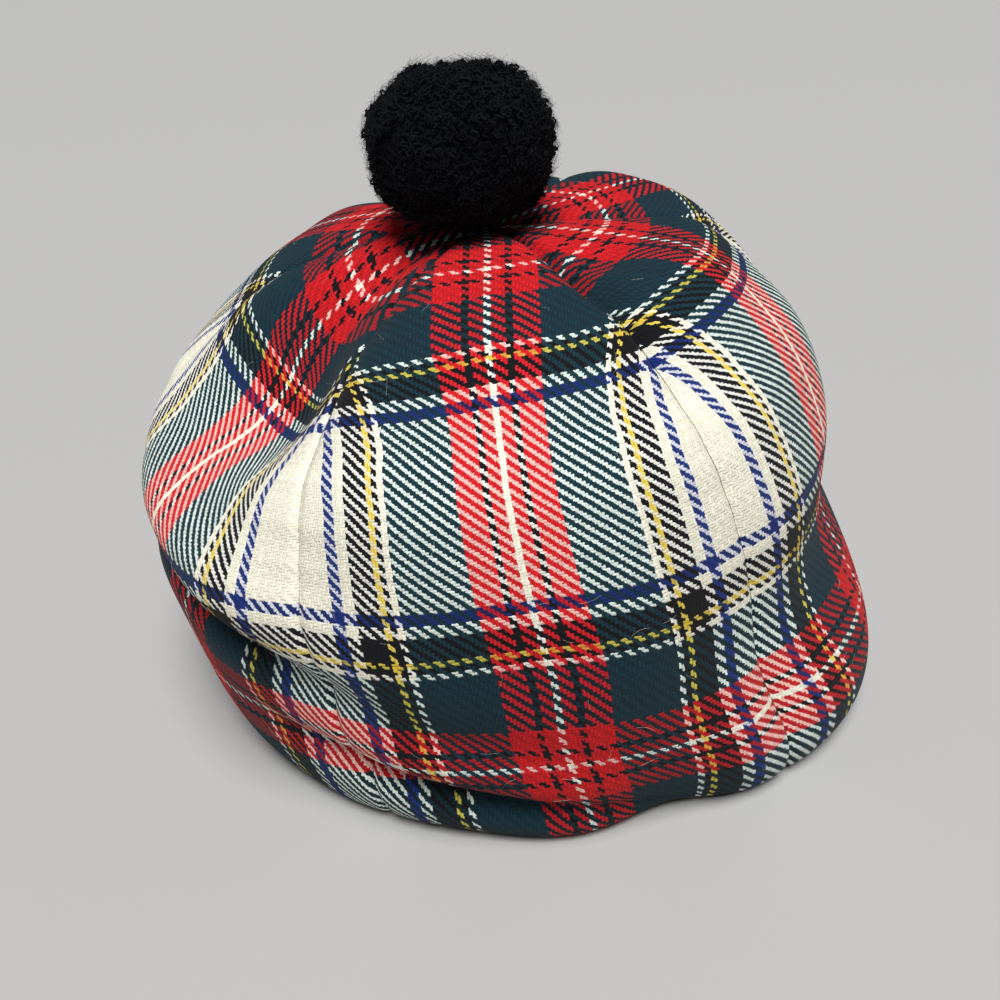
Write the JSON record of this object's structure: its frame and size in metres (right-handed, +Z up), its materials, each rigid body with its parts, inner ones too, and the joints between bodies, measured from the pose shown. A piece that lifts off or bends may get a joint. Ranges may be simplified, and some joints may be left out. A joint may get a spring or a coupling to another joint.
{
  "type": "tam o'shanter",
  "caption": "Slumped tartan wool tam sewn from tapering gores, with a trimmed wool pompom on its crown, open below for the head and standing on its turned-under rim.",
  "frame": {"origin": "on the floor under the middle of the hat's box", "axes": "+Z up from the rim to the pompom, -Y towards the front gore, +X to the front gore's right as it is looked at"},
  "size_m": [0.2138, 0.2303, 0.1742],
  "materials": {
    "tartan_wool": "brushed twill wool",
    "pompom_wool": "trimmed curly wool"
  },
  "bodies": {
    "root": {"gore_front": "tartan_wool", "gore_front_right": "tartan_wool", "gore_back_right": "tartan_wool", "gore_back": "tartan_wool", "gore_back_left": "tartan_wool", "gore_front_left": "tartan_wool", "pompom": "pompom_wool"}
  },
  "joints": []
}
